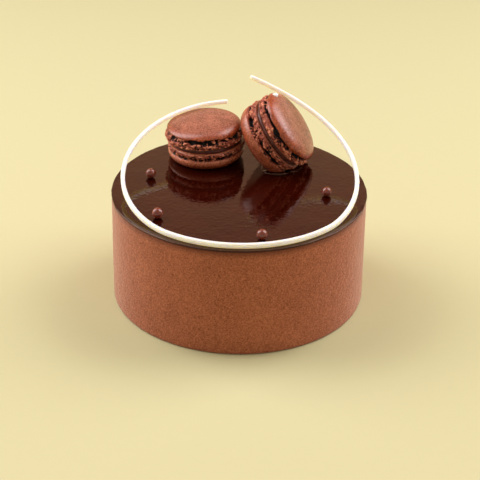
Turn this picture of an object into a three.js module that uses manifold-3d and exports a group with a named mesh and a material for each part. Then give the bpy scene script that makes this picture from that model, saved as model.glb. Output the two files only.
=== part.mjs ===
// A round chocolate cake under a dark mirror glaze, dressed with two macarons,
// four chocolate pearls and an open ring of white chocolate.
// Millimetres, +Z up, the origin in the middle of the flat underside and the
// front of the cake towards -Y.

import * as THREE from 'three';
import { mergeVertices } from 'three/addons/utils/BufferGeometryUtils.js';
import Module from 'manifold-3d';

const wasm = await Module();
wasm.setup();

// Driving dimensions: the cake and its glaze
const CAKE_RADIUS = 75;
const CAKE_HEIGHT = 67.5;
const GLAZE_THICKNESS = 1.5;
const GLAZE_RIM_ROUND = 1.3;
const UNDERSIDE_ROUND = 1.2;
const TOP_EDGE_ROUND = 0.6;
const CAKE_SEGMENTS = 96;
const EDGE_STEPS = 3;
const RIM_STEPS = 4;

// Driving dimensions: the white chocolate ring, its angles in degrees from the
// front, its left arm and its right arm each lifted from their start to the back.
// The right arm rises more, and tucks in towards the middle as it does.
const RING = {
  radius: 68.5,
  centre: new THREE.Vector2(0.55, -2.7),
  thickness: 2.9,
  corner: 0.7,
  leftEnd: -173.1,
  rightEnd: 174.3,
  left: { start: 37.9, rise: 25.5, power: 1.62 },
  right: { start: 49, rise: 50.3, power: 1.44, tuck: 14.1, tuckPower: 3 },
  steps: 72,
};

// Driving dimensions: the macarons, each of two shells with a filling between.
// A shell is a craggy foot, a band of gashes and a smooth crown on top of them.
// The crown's edge is a steep wall with a rounded shoulder, inset from the foot,
// and a low dome lies on it. A shell can lie off the middle by its slide, and
// its crown can be thicker on one side by its slant, in degrees. Both macarons
// are pressed into the cake, so what would reach into it is cut off.
const FLAT_MACARON = {
  name: 'macaron_flat',
  radius: 23.4,
  filling: 2.4,
  upper: {
    name: 'top_shell',
    foot: 3.2, gashes: 2.9, crown: 4.3, edge: 3.1, inset: 0.8,
    slide: new THREE.Vector2(-0.7, 0.4), slant: 3.3,
  },
  lower: {
    name: 'bottom_shell',
    foot: 2.1, gashes: 2.1, crown: 8.5, edge: 8, inset: 0.2,
    slide: new THREE.Vector2(), slant: 0,
  },
  centre: new THREE.Vector3(-20.6, 44.2, 12.4),
  axisTilt: 1.9,
  axisHeading: 184,
  seed: 11,
};
const LEANING_MACARON = {
  name: 'macaron_leaning',
  radius: 23.4,
  filling: 2.4,
  upper: {
    name: 'outer_shell',
    foot: 3.4, gashes: 2.4, crown: 6, edge: 3.6, inset: 0.6,
    slide: new THREE.Vector2(), slant: 0,
  },
  lower: {
    name: 'inner_shell',
    foot: 3.4, gashes: 2.4, crown: 9.6, edge: 8.8, inset: 0.3,
    slide: new THREE.Vector2(), slant: 0,
  },
  centre: new THREE.Vector3(24, 37.4, 19.3),
  axisTilt: 53.4,
  axisHeading: -7.7,
  seed: 29,
};
const SHELL_SEGMENTS = 56;
// Rings up the foot and the gashes: inset from the shell's radius, share of the
// foot's and of the gash band's height, and how craggy and how gashed they are
const FOOT_RINGS = [
  { inset: 1, footShare: 0, bandShare: 0, crag: 0.3, gash: 0 },
  { inset: 0.2, footShare: 0.12, bandShare: 0, crag: 0.8, gash: 0 },
  { inset: 0, footShare: 0.4, bandShare: 0, crag: 1, gash: 0 },
  { inset: 0.1, footShare: 0.7, bandShare: 0, crag: 1, gash: 0 },
  { inset: 0.5, footShare: 1, bandShare: 0, crag: 0.9, gash: 0.5 },
  { inset: 0.9, footShare: 1, bandShare: 0.4, crag: 0.4, gash: 1 },
  { inset: 0.6, footShare: 1, bandShare: 0.8, crag: 0.4, gash: 0.6 },
];
const CROWN = { steps: 7, fullness: 0.28, domePower: 3, crag: 0.1 };
const CRAG_DEPTH = 0.9;
const GASH_DEPTH = 1.7;
const CRAG_BIAS = 0.6;
const CROWN_LUMP = 0.12;
const CROWN_LUMP_WAVES = [2, 3, 4];
const FILLING_RECESS = 1.7;
const FILLING_SEGMENTS = 48;
const PIECE_GAP = 0.3;
const CUT_WIDTH = 120;

// A dab of white chocolate on the high edge of the leaning macaron
const DAB = { radius: 1.7, alongAxis: 9.1, fromAxis: 20.5, aroundAxis: 161, segments: 12, rings: 8 };

// Driving dimensions: the pearls on the glaze
const PEARLS = [
  { x: -52.7, y: 13.0, diameter: 6.1 },
  { x: -46.2, y: -37.5, diameter: 6.5 },
  { x: 12.9, y: -60.7, diameter: 6.3 },
  { x: 51.1, y: -7.6, diameter: 5.8 },
];
const PEARL_FLAT = 0.9;
const PEARL_SEGMENTS = 20;
const PEARL_RINGS = 9;

const FINISHES = {
  cake: { color: 0x8a4a2b, roughness: 0.85, metalness: 0 },
  glaze: { color: 0x2a130c, roughness: 0.06, metalness: 0 },
  ring: { color: 0xfdf6e4, roughness: 0.45, metalness: 0 },
  shell: { color: 0xa9644a, roughness: 0.55, metalness: 0 },
  filling: { color: 0x2a1510, roughness: 0.25, metalness: 0 },
  pearl: { color: 0x6e352a, roughness: 0.35, metalness: 0 },
};

const WELD_DISTANCE = 1e-4;
const DRAW_MULTIPLIER = 1664525;
const DRAW_INCREMENT = 1013904223;
const DRAW_RANGE = 2 ** 32;
const UP = new THREE.Vector3(0, 0, 1);
const radians = THREE.MathUtils.degToRad;
const clamp = THREE.MathUtils.clamp;

// Seeded draws in the range 0 to 1
function seededDraws(seed) {
  let state = seed;
  return () => {
    state = (Math.imul(state, DRAW_MULTIPLIER) + DRAW_INCREMENT) >>> 0;
    return state / DRAW_RANGE;
  };
}

function finish(kind) {
  return new THREE.MeshStandardMaterial(FINISHES[kind]);
}

function piece(name, geometry, kind) {
  const mesh = new THREE.Mesh(geometry, finish(kind));
  mesh.name = name;
  return mesh;
}

// Points of an arc from one angle to another, in degrees
function arcPoints(centreR, centreZ, radius, from, to, steps) {
  const points = [];
  for (let i = 0; i <= steps; i += 1) {
    const angle = radians(from + ((to - from) * i) / steps);
    points.push(new THREE.Vector2(centreR + radius * Math.cos(angle), centreZ + radius * Math.sin(angle)));
  }
  return points;
}

// A solid of revolution about Z from (radius, height) points, lowest first
function turned(points, segments) {
  return new THREE.LatheGeometry(points, segments).rotateX(Math.PI / 2);
}

function positionsOnly(geometry) {
  const bare = geometry.clone();
  bare.deleteAttribute('normal');
  bare.deleteAttribute('uv');
  return mergeVertices(bare, WELD_DISTANCE);
}

function toSolid(geometry) {
  const bare = positionsOnly(geometry);
  const corners = bare.index.array;
  const triangles = [];
  for (let i = 0; i < corners.length; i += 3) {
    const [a, b, c] = [corners[i], corners[i + 1], corners[i + 2]];
    if (a !== b && b !== c && c !== a) triangles.push(a, b, c);
  }
  return new wasm.Manifold(new wasm.Mesh({
    numProp: 3,
    vertProperties: new Float32Array(bare.attributes.position.array),
    triVerts: new Uint32Array(triangles),
  }));
}

function toGeometry(solid) {
  const mesh = solid.getMesh();
  const geometry = new THREE.BufferGeometry();
  geometry.setAttribute('position', new THREE.BufferAttribute(new Float32Array(mesh.vertProperties), 3));
  geometry.setIndex(new THREE.BufferAttribute(new Uint32Array(mesh.triVerts), 1));
  geometry.computeVertexNormals();
  return geometry;
}

// The cake: one solid with a rounded lower edge and a slightly eased top edge
function cakeBody() {
  const top = CAKE_HEIGHT - GLAZE_THICKNESS;
  const profile = [
    new THREE.Vector2(0, 0),
    ...arcPoints(CAKE_RADIUS - UNDERSIDE_ROUND, UNDERSIDE_ROUND, UNDERSIDE_ROUND, -90, 0, EDGE_STEPS),
    ...arcPoints(CAKE_RADIUS - TOP_EDGE_ROUND, top - TOP_EDGE_ROUND, TOP_EDGE_ROUND, 0, 90, EDGE_STEPS),
    new THREE.Vector2(0, top),
  ];
  return piece('cake_body', turned(profile, CAKE_SEGMENTS), 'cake');
}

// The glaze: a thin skin over the top with a soft rounded rim
function glazeSkin() {
  const bottom = CAKE_HEIGHT - GLAZE_THICKNESS;
  const lip = GLAZE_THICKNESS - GLAZE_RIM_ROUND;
  const rim = CAKE_RADIUS - GLAZE_RIM_ROUND;
  const profile = [
    new THREE.Vector2(0, bottom),
    new THREE.Vector2(CAKE_RADIUS - TOP_EDGE_ROUND, bottom),
    ...arcPoints(rim, bottom + lip, GLAZE_RIM_ROUND, 0, 90, RIM_STEPS),
    new THREE.Vector2(0, CAKE_HEIGHT),
  ];
  return piece('glaze', turned(profile, CAKE_SEGMENTS), 'glaze');
}

// The middle line of the ring's rod
class RingPath extends THREE.Curve {
  getPoint(t, target = new THREE.Vector3()) {
    const angle = THREE.MathUtils.lerp(RING.leftEnd, RING.rightEnd, t);
    const { left, right } = RING;
    const leftShare = clamp((-angle - left.start) / (180 - left.start), 0, 1);
    const rightShare = clamp((angle - right.start) / (180 - right.start), 0, 1);
    const lift =
      left.rise * Math.sin((leftShare * Math.PI) / 2) ** left.power +
      right.rise * rightShare ** right.power;
    const radius = RING.radius - right.tuck * rightShare ** right.tuckPower;
    return target.set(
      RING.centre.x + radius * Math.sin(radians(angle)),
      RING.centre.y - radius * Math.cos(radians(angle)),
      CAKE_HEIGHT + RING.thickness / 2 + lift,
    );
  }

  // Frames that keep the rod's section upright all the way round
  computeFrenetFrames(steps) {
    const frames = { tangents: [], normals: [], binormals: [] };
    for (let i = 0; i <= steps; i += 1) {
      const tangent = this.getTangentAt(i / steps);
      const inward = new THREE.Vector3().crossVectors(UP, tangent).normalize();
      frames.tangents.push(tangent);
      frames.normals.push(inward);
      frames.binormals.push(new THREE.Vector3().crossVectors(tangent, inward));
    }
    return frames;
  }
}

// The rod's section: a square with rounded corners
function ringSection() {
  const flat = RING.thickness / 2 - RING.corner;
  const shape = new THREE.Shape();
  for (let corner = 0; corner < 4; corner += 1) {
    const turn = 90 * corner;
    const middle = new THREE.Vector2(flat, flat).rotateAround(new THREE.Vector2(), radians(turn));
    shape.absarc(middle.x, middle.y, RING.corner, radians(turn), radians(turn + 90), false);
  }
  shape.closePath();
  return shape;
}

function whiteRing() {
  const geometry = new THREE.ExtrudeGeometry(ringSection(), {
    steps: RING.steps,
    curveSegments: 1,
    extrudePath: new RingPath(),
  });
  return piece('white_ring', geometry, 'ring');
}

// The rings of one shell from its flat face out to its crown. crag is how far
// a ring's points stand in and out, and gash how deep they are cut in places.
function shellRings(radius, shell) {
  const { foot, gashes, crown, edge } = shell;
  const lip = foot + gashes;
  const rings = [{ r: 0, h: 0, crag: 0, gash: 0, slant: 0 }];
  for (const { inset, footShare, bandShare, crag, gash } of FOOT_RINGS) {
    rings.push({ r: radius - inset, h: footShare * foot + bandShare * gashes, crag, gash, slant: 0 });
  }
  for (let i = 0; i < CROWN.steps; i += 1) {
    const angle = radians((90 * i) / CROWN.steps);
    const share = Math.cos(angle) ** CROWN.fullness;
    const dome = (crown - edge) * (1 - share ** CROWN.domePower);
    rings.push({
      r: (radius - shell.inset) * share,
      h: lip + edge * Math.sin(angle) + dome,
      crag: CROWN.crag,
      gash: 0,
      slant: Math.tan(radians(shell.slant)) * Math.sin(angle),
    });
  }
  rings.push({ r: 0, h: lip + crown, crag: 0, gash: 0, slant: 0 });
  return rings;
}

// One shell along +Z, its flat face at height 0
function shellGeometry(radius, shell, seed) {
  const rings = shellRings(radius, shell);
  const draw = seededDraws(seed);
  const points = rings.map((ring) => new THREE.Vector2(ring.r, ring.h));
  const geometry = new THREE.LatheGeometry(points, SHELL_SEGMENTS);
  const gashes = Array.from({ length: SHELL_SEGMENTS }, () => draw() ** 2);
  const shifts = gashes.map((gash) => rings.map((ring) => {
    const crag = CRAG_DEPTH * ring.crag * (draw() - CRAG_BIAS);
    return crag - GASH_DEPTH * ring.gash * gash;
  }));
  const sways = CROWN_LUMP_WAVES.map((waves) => ({ waves, phase: draw() * 2 * Math.PI }));
  const position = geometry.attributes.position;
  for (let column = 0; column <= SHELL_SEGMENTS; column += 1) {
    const around = (column % SHELL_SEGMENTS) / SHELL_SEGMENTS * 2 * Math.PI;
    const sway = sways.reduce((sum, { waves, phase }) => sum + Math.sin(waves * around + phase), 0);
    rings.forEach((ring, row) => {
      if (ring.r === 0) return;
      const index = column * rings.length + row;
      const scale = (ring.r + shifts[column % SHELL_SEGMENTS][row] + CROWN_LUMP * sway) / ring.r;
      position.setX(index, position.getX(index) * scale);
      position.setZ(index, position.getZ(index) * scale);
      position.setY(index, position.getY(index) + ring.slant * position.getX(index));
    });
  }
  return geometry.rotateX(Math.PI / 2).translate(shell.slide.x, shell.slide.y, 0);
}

// The filling: a disc a little smaller than the shells, with a rounded side
function fillingGeometry({ radius, filling }) {
  const half = filling / 2 - PIECE_GAP;
  const side = radius - FILLING_RECESS - half;
  const profile = [
    new THREE.Vector2(0, -half),
    ...arcPoints(side, 0, half, -90, 90, RIM_STEPS),
    new THREE.Vector2(0, half),
  ];
  return turned(profile, FILLING_SEGMENTS);
}

// What would reach into the cake is cut off, just above the glaze
function cutAtGlaze(mesh, group) {
  const slab = new THREE.BoxGeometry(CUT_WIDTH, CUT_WIDTH, CAKE_HEIGHT);
  slab.translate(group.position.x, group.position.y, CAKE_HEIGHT / 2 + PIECE_GAP);
  mesh.updateMatrix();
  group.updateMatrix();
  slab.applyMatrix4(group.matrix.clone().multiply(mesh.matrix).invert());
  mesh.geometry = toGeometry(toSolid(mesh.geometry).subtract(toSolid(slab)));
}

// One macaron round its own axis: upper shell, filling and lower shell
function macaron(spec, upperGeometry) {
  const upper = piece(`${spec.name}_${spec.upper.name}`, upperGeometry, 'shell');
  upper.position.z = spec.filling / 2;
  const lowerGeometry = shellGeometry(spec.radius, spec.lower, spec.seed + 1);
  const lower = piece(`${spec.name}_${spec.lower.name}`, lowerGeometry, 'shell');
  lower.position.z = -spec.filling / 2;
  lower.rotation.x = Math.PI;
  const group = new THREE.Group();
  group.add(upper, piece(`${spec.name}_filling`, fillingGeometry(spec), 'filling'), lower);
  const tilt = radians(spec.axisTilt);
  const heading = radians(spec.axisHeading);
  const axis = new THREE.Vector3(
    Math.sin(tilt) * Math.cos(heading),
    Math.sin(tilt) * Math.sin(heading),
    Math.cos(tilt),
  );
  group.quaternion.setFromUnitVectors(UP, axis);
  group.position.copy(spec.centre).setZ(spec.centre.z + CAKE_HEIGHT);
  cutAtGlaze(lower, group);
  return group;
}

function upperShell({ radius, upper, seed }) {
  return shellGeometry(radius, upper, seed);
}

// The dab, fused to the shell that it lies on
function withDab(geometry) {
  const dab = new THREE.SphereGeometry(DAB.radius, DAB.segments, DAB.rings);
  const around = radians(DAB.aroundAxis);
  dab.translate(DAB.fromAxis * Math.cos(around), DAB.fromAxis * Math.sin(around), DAB.alongAxis);
  return toGeometry(toSolid(geometry).add(toSolid(dab)));
}

// A pearl that stands on a small flat
function pearl({ x, y, diameter }, index) {
  const radius = diameter / 2;
  const middle = Math.sqrt(radius ** 2 - PEARL_FLAT ** 2);
  const from = -THREE.MathUtils.radToDeg(Math.asin(middle / radius));
  const profile = [new THREE.Vector2(0, 0), ...arcPoints(0, middle, radius, from, 90, PEARL_RINGS)];
  profile.at(-1).x = 0;
  const mesh = piece(`pearl_${index + 1}`, turned(profile, PEARL_SEGMENTS), 'pearl');
  mesh.position.set(x, y, CAKE_HEIGHT);
  return mesh;
}

const cake = new THREE.Group();
cake.add(cakeBody(), glazeSkin(), whiteRing());
cake.add(macaron(FLAT_MACARON, upperShell(FLAT_MACARON)));
cake.add(macaron(LEANING_MACARON, withDab(upperShell(LEANING_MACARON))));
PEARLS.forEach((spec, index) => cake.add(pearl(spec, index)));

export default cake;
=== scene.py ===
"""A round chocolate cake with velvet sides, a mirror glaze, macarons, pearls and a white ring.

Sizes are in millimetres in the part's own frame: +Z up, the front of the cake towards -Y and
the origin in the middle of the flat underside. Meshes turn to metres as they are made.
"""

import logging
import math
from dataclasses import dataclass, field
from enum import Enum
from typing import ClassVar

import bmesh
import bpy
import numpy as np
from mathutils import Matrix, Vector


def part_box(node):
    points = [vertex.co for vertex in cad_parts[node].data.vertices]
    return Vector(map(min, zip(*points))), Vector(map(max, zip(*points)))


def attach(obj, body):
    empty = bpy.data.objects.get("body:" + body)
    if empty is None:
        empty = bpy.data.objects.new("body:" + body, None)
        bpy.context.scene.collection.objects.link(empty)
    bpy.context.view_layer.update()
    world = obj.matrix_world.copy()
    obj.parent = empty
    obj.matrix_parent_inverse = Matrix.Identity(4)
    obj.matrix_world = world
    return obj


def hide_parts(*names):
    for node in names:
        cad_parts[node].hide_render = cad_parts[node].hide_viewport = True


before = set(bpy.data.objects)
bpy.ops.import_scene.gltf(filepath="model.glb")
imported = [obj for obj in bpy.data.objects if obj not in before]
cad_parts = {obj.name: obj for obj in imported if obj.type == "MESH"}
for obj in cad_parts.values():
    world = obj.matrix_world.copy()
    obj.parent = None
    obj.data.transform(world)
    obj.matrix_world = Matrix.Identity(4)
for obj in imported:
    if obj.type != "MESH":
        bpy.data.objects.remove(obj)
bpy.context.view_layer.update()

log = logging.getLogger("cake")

MM = 0.001
BODY = "root"
UP = np.array([0.0, 0.0, 1.0])
FULL_TURN = 2 * math.pi
Pair = tuple[float, float]
Triple = tuple[float, float, float]
Array = np.ndarray
Marks = dict[str, Array]
Piece = bpy.types.Object

# Height of the glaze, which everything on the cake lies on
GLAZE_TOP = 67.5

# Radius at which a level face is closed by a fan
CORE = 2.0


class Slot(Enum):
    """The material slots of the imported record."""

    VELVET = "cocoa_velvet"
    GLAZE = "mirror_glaze"
    WHITE = "white_chocolate"
    SHELL = "macaron_shell"
    GANACHE = "ganache"
    PEARL = "chocolate_pearl"


def paint(*screen: int) -> tuple[float, ...]:
    """Turns a screen colour from 0 to 255 into the linear colour that a shader takes."""
    shares = [value / 255 for value in screen]
    return (*(s / 12.92 if s <= 0.04045 else ((s + 0.055) / 1.055) ** 2.4 for s in shares), 1.0)


def ramp(values: Array, low: float, high: float) -> Array:
    """Eases values from 0 at low to 1 at high."""
    share = np.clip((values - low) / (high - low), 0.0, 1.0)
    return share * share * (3 - 2 * share)


@dataclass(frozen=True)
class Waves:
    """A layer of noise: its height and its size in millimetres, and which draw it is."""

    height: float
    size: float
    channel: int = 0


class Unevenness:
    """Seeded lattice noise over points in millimetres."""

    STEPS = np.array([73856093, 19349663, 83492791], dtype=np.int64)
    SEED_STEP = 2654435761
    CHANNEL_STEP = 40503
    MIX_STEP = 0x45D9F3B
    MASK = 0xFFFFFFFF

    def __init__(self, seed: int) -> None:
        """Keeps the seed that all draws follow from."""
        self.seed = seed

    def draw(self, cells: Array, channel: int) -> Array:
        """Draws a number from 0 to 1 for each lattice cell.

        Args:
            cells: Whole lattice positions, three to a row.
            channel: Which of several separate draws is wanted.

        Returns:
            One number for each row.
        """
        mixed = cells.astype(np.int64) @ self.STEPS
        mixed = (mixed + self.seed * self.SEED_STEP + channel * self.CHANNEL_STEP) & self.MASK
        for _ in range(2):
            mixed = (((mixed >> 16) ^ mixed) * self.MIX_STEP) & self.MASK
        return ((mixed >> 16) ^ mixed) / (self.MASK + 1)

    def smooth(self, points: Array, size: float, channel: int = 0) -> Array:
        """Gives a soft noise from -1 to 1.

        Args:
            points: Points in millimetres, in an array that ends in three.
            size: Distance between one rise and the next.
            channel: Which of several separate noises is wanted.

        Returns:
            The noise at each point.
        """
        grid = points.reshape(-1, 3) / size
        low = np.floor(grid)
        share = grid - low
        share = share * share * (3 - 2 * share)
        total = np.zeros(len(grid))
        for corner in np.ndindex(2, 2, 2):
            weight = np.where(corner, share, 1 - share).prod(axis=1)
            total += weight * self.draw(low + corner, channel)
        return (2 * total - 1).reshape(points.shape[:-1])

    def layers(self, points: Array, *layers: Waves) -> Array:
        """Adds up layers of noise."""
        return sum(layer.height * self.smooth(points, layer.size, layer.channel) for layer in layers)

    def cells(self, points: Array, size: float, channel: int = 0) -> tuple[Array, ...]:
        """Finds the nearest of scattered seeds, one in each lattice cell.

        Args:
            points: Points in millimetres, in an array that ends in three.
            size: Usual distance between seeds.
            channel: Which of several separate scatters is wanted.

        Returns:
            Distance to the nearest seed and to the next one in shares of size, and the
            nearest seed's own draw from 0 to 1.
        """
        grid = points.reshape(-1, 3) / size
        low = np.floor(grid)
        first = np.full(len(grid), np.inf)
        second = first.copy()
        pick = np.zeros(len(grid))
        for step in np.ndindex(3, 3, 3):
            cell = low + step - 1
            seed = np.stack([self.draw(cell, channel + axis) for axis in (1, 2, 3)], axis=1)
            distance = np.linalg.norm(cell + seed - grid, axis=1)
            nearer = distance < first
            second = np.where(nearer, first, np.minimum(second, distance))
            pick = np.where(nearer, self.draw(cell, channel + 4), pick)
            first = np.where(nearer, distance, first)
        shape = points.shape[:-1]
        return first.reshape(shape), second.reshape(shape), pick.reshape(shape)


def circle(count: int, start: float = 0.0) -> tuple[Array, Array]:
    """Gives the cosines and sines of even angles round a full turn, the first one start steps on."""
    angles = (np.arange(count) + start) * FULL_TURN / count
    return np.cos(angles), np.sin(angles)


def turned(profile: Array, columns: int) -> Array:
    """Turns a profile of radii and heights about Z, into rows and columns of points."""
    ring = np.stack([*circle(columns), np.zeros(columns)], axis=1)
    return profile[:, 0, None, None] * ring + profile[:, 1, None, None] * UP


def from_axis(points: Array) -> Array:
    """Gives each point's distance from the Z axis."""
    return np.hypot(points[..., 0], points[..., 1])


def outward(points: Array) -> Array:
    """Gives the level direction away from the Z axis at each point."""
    level = points * (1.0, 1.0, 0.0)
    return level / np.maximum(np.linalg.norm(level, axis=-1, keepdims=True), 1e-9)


def pushed_out(points: Array, far: Array) -> Array:
    """Moves points away from the Z axis."""
    return points + outward(points) * far[..., None]


def arc(centre: Pair, radius: float, start: float, stop: float, steps: int) -> Array:
    """Gives the points of an arc in a profile, from one angle in degrees to another."""
    angles = np.radians(np.linspace(start, stop, steps + 1))
    return np.stack([centre[0] + radius * np.cos(angles), centre[1] + radius * np.sin(angles)], axis=1)


def level_run(start: float, stop: float, height: float, rows: int) -> Array:
    """Gives the points of a level run in a profile, from one radius to another."""
    return np.stack([np.linspace(start, stop, rows), np.full(rows, height)], axis=1)


def run_along(points: Array) -> Array:
    """Gives each point's distance from the first, along the line through them."""
    return np.concatenate([[0.0], np.linalg.norm(np.diff(points, axis=0), axis=1).cumsum()])


def evenly(points: Array, rows: int) -> Array:
    """Spaces rows evenly along points of a radius, a height and any further numbers."""
    run = run_along(points[:, :2])
    return np.stack([np.interp(np.linspace(0, run[-1], rows), run, values) for values in points.T], axis=1)


def new_piece(name: str, points: Array, faces: list) -> Piece:
    """Makes a smooth mesh object and links it to the scene.

    Args:
        name: Name of the piece.
        points: Points in millimetres, three coordinates to a row.
        faces: The points of each face.

    Returns:
        The new object.
    """
    mesh = bpy.data.meshes.new(name)
    mesh.from_pydata((points * MM).tolist(), [], faces)
    mesh.shade_smooth()
    made = bpy.data.objects.new(name, mesh)
    bpy.context.scene.collection.objects.link(made)
    return made


def closed_skin(name: str, rings: Array, marks: Marks | None = None, looped: bool = False) -> Piece:
    """Makes a closed mesh from rows of points.

    Args:
        name: Name of the piece.
        rings: Points in millimetres as rows, columns and three coordinates.
        marks: Named numbers for each point that the finish reads.
        looped: Whether the last row meets the first. If not, a fan closes each end.

    Returns:
        The new object.
    """
    rows, columns = rings.shape[:2]
    grid = np.arange(rows * columns).reshape(rows, columns)
    after = np.roll(grid, -1, axis=1)
    quads = np.stack([grid, after, np.roll(after, -1, axis=0), np.roll(grid, -1, axis=0)], axis=-1)
    if looped:
        return new_piece(name, rings.reshape(-1, 3), quads.reshape(-1, 4).tolist())
    ends = np.stack([rings[0].mean(axis=0), rings[-1].mean(axis=0)])
    first = np.full(columns, rows * columns)
    fans = np.concatenate([
        np.stack([first, after[0], grid[0]], axis=1),
        np.stack([first + 1, grid[-1], after[-1]], axis=1),
    ])
    faces = quads[:-1].reshape(-1, 4).tolist() + fans.tolist()
    made = new_piece(name, np.concatenate([rings.reshape(-1, 3), ends]), faces)
    for label, values in (marks or {}).items():
        mark = made.data.attributes.new(label, "FLOAT", "POINT")
        tips = [values[0].mean(), values[-1].mean()]
        mark.data.foreach_set("value", np.concatenate([values.ravel(), tips]).astype(np.float32))
    return made


def cut_level(piece: Piece, level: float) -> None:
    """Cuts a piece off below a height and closes the cut.

    Args:
        piece: The piece, whose mesh is in the cake's frame.
        level: Height of the cut in millimetres.
    """
    work = bmesh.new()
    work.from_mesh(piece.data)
    everything = work.verts[:] + work.edges[:] + work.faces[:]
    middle = UP * level * MM
    bmesh.ops.bisect_plane(work, geom=everything, plane_co=middle, plane_no=-UP, clear_outer=True)
    open_edges = [edge for edge in work.edges if edge.is_boundary]
    if open_edges:
        bmesh.ops.triangle_fill(work, use_beauty=True, edges=open_edges, normal=-UP)
    work.to_mesh(piece.data)
    work.free()


@dataclass(frozen=True)
class Grain:
    """A layer of shader noise: its size, its share of a tone and the depth of its bump."""

    size: float
    share: float = 0.0
    depth: float = 0.0
    detail: float = 2.0
    roughness: float = 0.5


class Wire:
    """A socket of a node tree that takes part in Python expressions."""

    def __init__(self, recipe: "Recipe", socket: bpy.types.NodeSocket) -> None:
        """Wraps one output socket of a recipe's tree."""
        self.recipe = recipe
        self.socket = socket

    def __add__(self, other: "Wire | float") -> "Wire":
        """Adds two values."""
        return self.recipe.math("ADD", self, other)

    __radd__ = __add__

    def __sub__(self, other: "Wire | float") -> "Wire":
        """Takes a value from this one."""
        return self.recipe.math("SUBTRACT", self, other)

    def __rsub__(self, other: "Wire | float") -> "Wire":
        """Takes this value from another."""
        return self.recipe.math("SUBTRACT", other, self)

    def __mul__(self, other: "Wire | float") -> "Wire":
        """Multiplies two values."""
        return self.recipe.math("MULTIPLY", self, other)

    __rmul__ = __mul__


class Recipe:
    """A node tree that Python expressions fill."""

    def __init__(self, tree: bpy.types.NodeTree) -> None:
        """Empties a tree and keeps it."""
        self.tree = tree
        tree.nodes.clear()

    def node(self, kind: str, output: int | str = 0, settings: dict | None = None,
             sockets: dict | None = None) -> Wire:
        """Adds a node of any type.

        Args:
            kind: Type of the node.
            output: Which of its outputs is wanted.
            settings: Properties of the node, set first.
            sockets: Values or wires for its inputs, by name or place.

        Returns:
            The wanted output.
        """
        made = self.tree.nodes.new(kind)
        for name, value in (settings or {}).items():
            setattr(made, name, value)
        for key, value in (sockets or {}).items():
            if isinstance(value, Wire):
                self.tree.links.new(value.socket, made.inputs[key])
            else:
                made.inputs[key].default_value = value
        return Wire(self, made.outputs[output] if made.outputs else None)

    def math(self, operation: str, *values: Wire | float) -> Wire:
        """Adds a Math node over values or wires."""
        return self.node("ShaderNodeMath", 0, {"operation": operation}, dict(enumerate(values)))

    def places(self) -> Wire:
        """Gives the place on the piece, in metres."""
        return self.node("ShaderNodeTexCoord", "Object")

    def mark(self, label: str) -> Wire:
        """Gives the number that the mesh holds under a label."""
        return self.node("ShaderNodeAttribute", "Fac", {"attribute_name": label})

    def part(self, axis: str, vector: Wire) -> Wire:
        """Gives one coordinate of a vector."""
        return self.node("ShaderNodeSeparateXYZ", axis, None, {0: vector})

    def noise(self, grain: Grain) -> Wire:
        """Adds a soft noise from 0 to 1."""
        sockets = {"Scale": 1 / (grain.size * MM), "Detail": grain.detail, "Roughness": grain.roughness}
        return self.node("ShaderNodeTexNoise", 0, None, {"Vector": self.places(), **sockets})

    def ease(self, value: Wire, low: float, high: float) -> Wire:
        """Eases a value from 0 at low to 1 at high."""
        settings = {"interpolation_type": "SMOOTHSTEP"}
        return self.node("ShaderNodeMapRange", 0, settings, {0: value, 1: low, 2: high, 3: 0.0, 4: 1.0})

    def blend(self, share: Wire, start: "Wire | tuple", stop: "Wire | tuple") -> Wire:
        """Blends two colours, by the share of the second one that is wanted."""
        settings = {"data_type": "RGBA", "clamp_factor": True}
        return self.node("ShaderNodeMix", 2, settings, {0: share, 6: start, 7: stop})

    def mottle(self, noise: Wire, start: tuple, stop: tuple) -> Wire:
        """Blends two colours over the middle of a noise."""
        return self.blend(self.ease(noise, low=0.3, high=0.7), start, stop)

    def bump(self, height: Wire, depth: float, under: Wire | None = None) -> Wire:
        """Adds a bump of a depth in millimetres, which can lie on another one."""
        sockets = {"Strength": 1.0, "Distance": depth * MM, "Height": height}
        return self.node("ShaderNodeBump", 0, None, sockets | ({"Normal": under} if under else {}))

    def surface(self, sockets: dict) -> None:
        """Adds the Principled shader and the output."""
        shader = self.node("ShaderNodeBsdfPrincipled", 0, None, sockets)
        self.node("ShaderNodeOutputMaterial", sockets={"Surface": shader})


class Finish:
    """A surface that a piece is dressed in."""

    label = "finish"
    mixed: ClassVar[dict[str, bpy.types.Material]] = {}

    def fill(self, recipe: Recipe) -> None:
        """Fills the material's nodes."""
        raise NotImplementedError

    def material(self) -> bpy.types.Material:
        """Mixes the material once and gives it to every piece that asks for it."""
        if self.label not in Finish.mixed:
            made = bpy.data.materials.new(f"{self.label}_finish")
            made.use_nodes = True
            self.fill(Recipe(made.node_tree))
            Finish.mixed[self.label] = made
        return Finish.mixed[self.label]


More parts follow.
